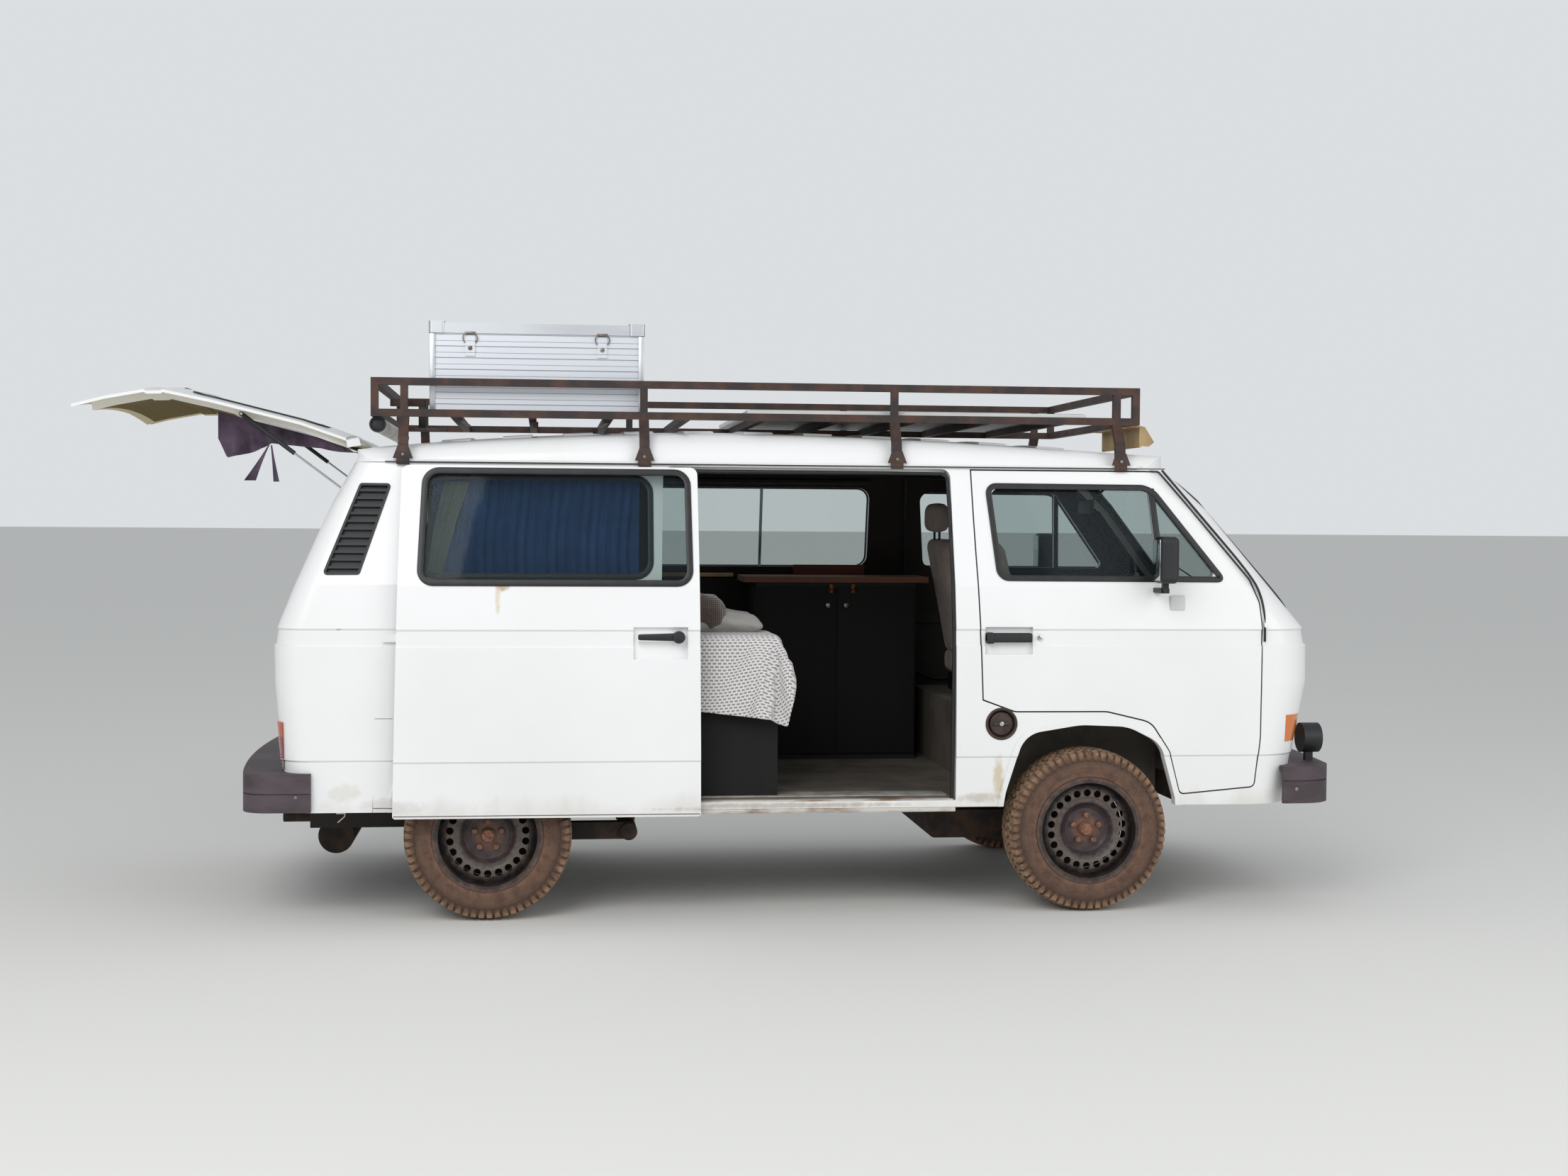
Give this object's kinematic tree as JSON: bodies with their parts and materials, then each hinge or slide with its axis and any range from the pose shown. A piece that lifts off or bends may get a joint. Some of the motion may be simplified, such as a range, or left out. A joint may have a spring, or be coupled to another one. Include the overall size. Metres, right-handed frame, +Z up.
{
  "type": "camper van",
  "caption": "Boxy rear-engined camper van with side sliding door and tailgate open, roof rack, solar panel, ribbed aluminium roof case and a fitted bed and kitchen unit",
  "frame": {"origin": "centre of the bounding box in plan, on the ground", "axes": "+X to the front of the van, +Y to its left, +Z up"},
  "size_m": [5.1932, 2.16, 2.4079],
  "materials": {
    "body_white": "aged off-white paint",
    "floor_grey": "worn grey floor",
    "window_glass": "tinted glass",
    "black_plastic": "grained black plastic",
    "lamp_glass": "fluted lamp glass",
    "amber_plastic": "amber lens",
    "red_plastic": "red lens",
    "bumper_plastic": "faded dark grey plastic",
    "cab_plastic": "dark cab plastic",
    "seat_fabric": "brown-grey cloth",
    "birch_wood": "oiled plywood",
    "mattress_fabric": "grey cover",
    "blanket_fabric": "white knit",
    "pillow_fabric": "brown fleece",
    "curtain_fabric": "dark blue cotton",
    "dark_fabric": "dark purple cotton",
    "black_steel": "brown-black paint",
    "panel_white": "white frame",
    "pipe_white": "white plastic pipe",
    "beige_plastic": "faded beige board",
    "case_aluminium": "ribbed sheet",
    "cast_metal": "oily casting",
    "under_steel": "dirty black steel",
    "rod_steel": "ground steel",
    "wheel_black": "black wheel paint",
    "tyre_rubber": "dusty tread"
  },
  "bodies": {
    "van_body": {"air_vents": "black_plastic", "bed": "birch_wood", "blanket": "blanket_fabric", "body_glass": "window_glass", "bumper_front": "bumper_plastic", "bumper_rear": "bumper_plastic", "cab_floor": "floor_grey", "case_tray": "case_aluminium", "curtains": "curtain_fabric", "dashboard": "cab_plastic", "engine_block": "cast_metal", "exhaust": "under_steel", "floor": "floor_grey", "front_indicators": "amber_plastic", "front_seats": "seat_fabric", "front_suspension": "under_steel", "fuel_tank": "under_steel", "grille": "black_plastic", "headlamps": "lamp_glass", "kitchen_unit": "birch_wood", "mattress": "mattress_fabric", "nose_panel": "body_white", "pillow": "pillow_fabric", "rack_pipe": "pipe_white", "rear_panel": "body_white", "rear_suspension": "under_steel", "roof": "body_white", "roof_rack": "black_steel", "side_left": "body_white", "side_right": "body_white", "sliding_door": "body_white", "solar_panel": "panel_white", "spot_lamps": "black_plastic", "tail_lamps": "red_plastic", "wind_deflector": "beige_plastic"},
    "steering_wheel": {"steering_wheel": "cab_plastic"},
    "knuckle_left": {"knuckle_left": "under_steel"},
    "knuckle_right": {"knuckle_right": "under_steel"},
    "door_left": {"door_left": "body_white", "door_glass_left": "window_glass", "mirror_left": "black_plastic"},
    "door_right": {"door_right": "body_white", "door_glass_right": "window_glass", "mirror_right": "black_plastic"},
    "tailgate": {"tailgate": "body_white", "tailgate_glass": "window_glass", "gate_cloth": "dark_fabric"},
    "strut_cylinder_left": {"strut_cylinder_left": "black_steel"},
    "strut_cylinder_right": {"strut_cylinder_right": "black_steel"},
    "strut_rod_left": {"strut_rod_left": "rod_steel"},
    "strut_rod_right": {"strut_rod_right": "rod_steel"},
    "case_lid": {"case_lid": "case_aluminium"},
    "wheel_front_left": {"wheel_front_left": "wheel_black", "tyre_front_left": "tyre_rubber"},
    "wheel_front_right": {"wheel_front_right": "wheel_black", "tyre_front_right": "tyre_rubber"},
    "wheel_rear_left": {"wheel_rear_left": "wheel_black", "tyre_rear_left": "tyre_rubber"},
    "wheel_rear_right": {"wheel_rear_right": "wheel_black", "tyre_rear_right": "tyre_rubber"}
  },
  "joints": [
    {"name": "steer_left", "type": "hinge", "parent": "van_body", "child": "knuckle_left", "pos_m": [1.49669, 0.7, 0.3365], "axis": [0, 0, 1], "range_deg": [-32, 32]},
    {"name": "steer_right", "type": "hinge", "parent": "van_body", "child": "knuckle_right", "pos_m": [1.49669, -0.7, 0.3365], "axis": [0, 0, 1], "range_deg": [-32, 32]},
    {"name": "turn_steering_wheel", "type": "hinge", "parent": "van_body", "child": "steering_wheel", "pos_m": [1.91669, 0.41, 1.245], "axis": [-0.6157, 0, 0.788], "range_deg": [-480, 480]},
    {"name": "roll_front_left", "type": "hinge", "parent": "knuckle_left", "child": "wheel_front_left", "pos_m": [1.49669, 0.792, 0.3365], "axis": [0, 1, 0], "continuous": true},
    {"name": "roll_front_right", "type": "hinge", "parent": "knuckle_right", "child": "wheel_front_right", "pos_m": [1.49669, -0.792, 0.3365], "axis": [0, 1, 0], "continuous": true},
    {"name": "roll_rear_left", "type": "hinge", "parent": "van_body", "child": "wheel_rear_left", "pos_m": [-0.96331, 0.792, 0.3365], "axis": [0, 1, 0], "continuous": true},
    {"name": "roll_rear_right", "type": "hinge", "parent": "van_body", "child": "wheel_rear_right", "pos_m": [-0.96331, -0.792, 0.3365], "axis": [0, 1, 0], "continuous": true},
    {"name": "open_door_left", "type": "hinge", "parent": "van_body", "child": "door_left", "pos_m": [2.21269, 0.92133, 1], "axis": [0, 0, -1], "range_deg": [0, 68]},
    {"name": "open_door_right", "type": "hinge", "parent": "van_body", "child": "door_right", "pos_m": [2.21269, -0.92133, 1], "axis": [0, 0, 1], "range_deg": [0, 68]},
    {"name": "close_tailgate", "type": "hinge", "parent": "van_body", "child": "tailgate", "pos_m": [-1.46331, 0, 1.904], "axis": [0, 1, 0], "range_deg": [-80.3, 0]},
    {"name": "swing_strut_left", "type": "hinge", "parent": "tailgate", "child": "strut_cylinder_left", "pos_m": [-1.95438, 0.64, 2.02296], "axis": [0, 1, 0], "range_deg": [-22.53, 0.5]},
    {"name": "push_rod_left", "type": "slide", "parent": "strut_cylinder_left", "child": "strut_rod_left", "axis": [0.8003, 0, -0.5996], "range_m": [-0.2207, 0.001]},
    {"name": "swing_strut_right", "type": "hinge", "parent": "tailgate", "child": "strut_cylinder_right", "pos_m": [-1.95438, -0.64, 2.02296], "axis": [0, 1, 0], "range_deg": [-22.53, 0.5]},
    {"name": "push_rod_right", "type": "slide", "parent": "strut_cylinder_right", "child": "strut_rod_right", "axis": [0.8003, 0, -0.5996], "range_m": [-0.2207, 0.001]},
    {"name": "open_case_lid", "type": "hinge", "parent": "van_body", "child": "case_lid", "pos_m": [-0.77231, -0.118, 2.36], "axis": [-1, 0, 0], "range_deg": [0, 95]}
  ],
  "couplings": [
    {"joint": "steer_right", "follows": "steer_left", "ratio": 1},
    {"joint": "turn_steering_wheel", "follows": "steer_left", "ratio": 15},
    {"joint": "swing_strut_left", "follows": "close_tailgate", "ratio": 0.27438},
    {"joint": "push_rod_left", "follows": "close_tailgate", "m_per_rad": 0.15676},
    {"joint": "swing_strut_right", "follows": "close_tailgate", "ratio": 0.27438},
    {"joint": "push_rod_right", "follows": "close_tailgate", "m_per_rad": 0.15676}
  ]
}
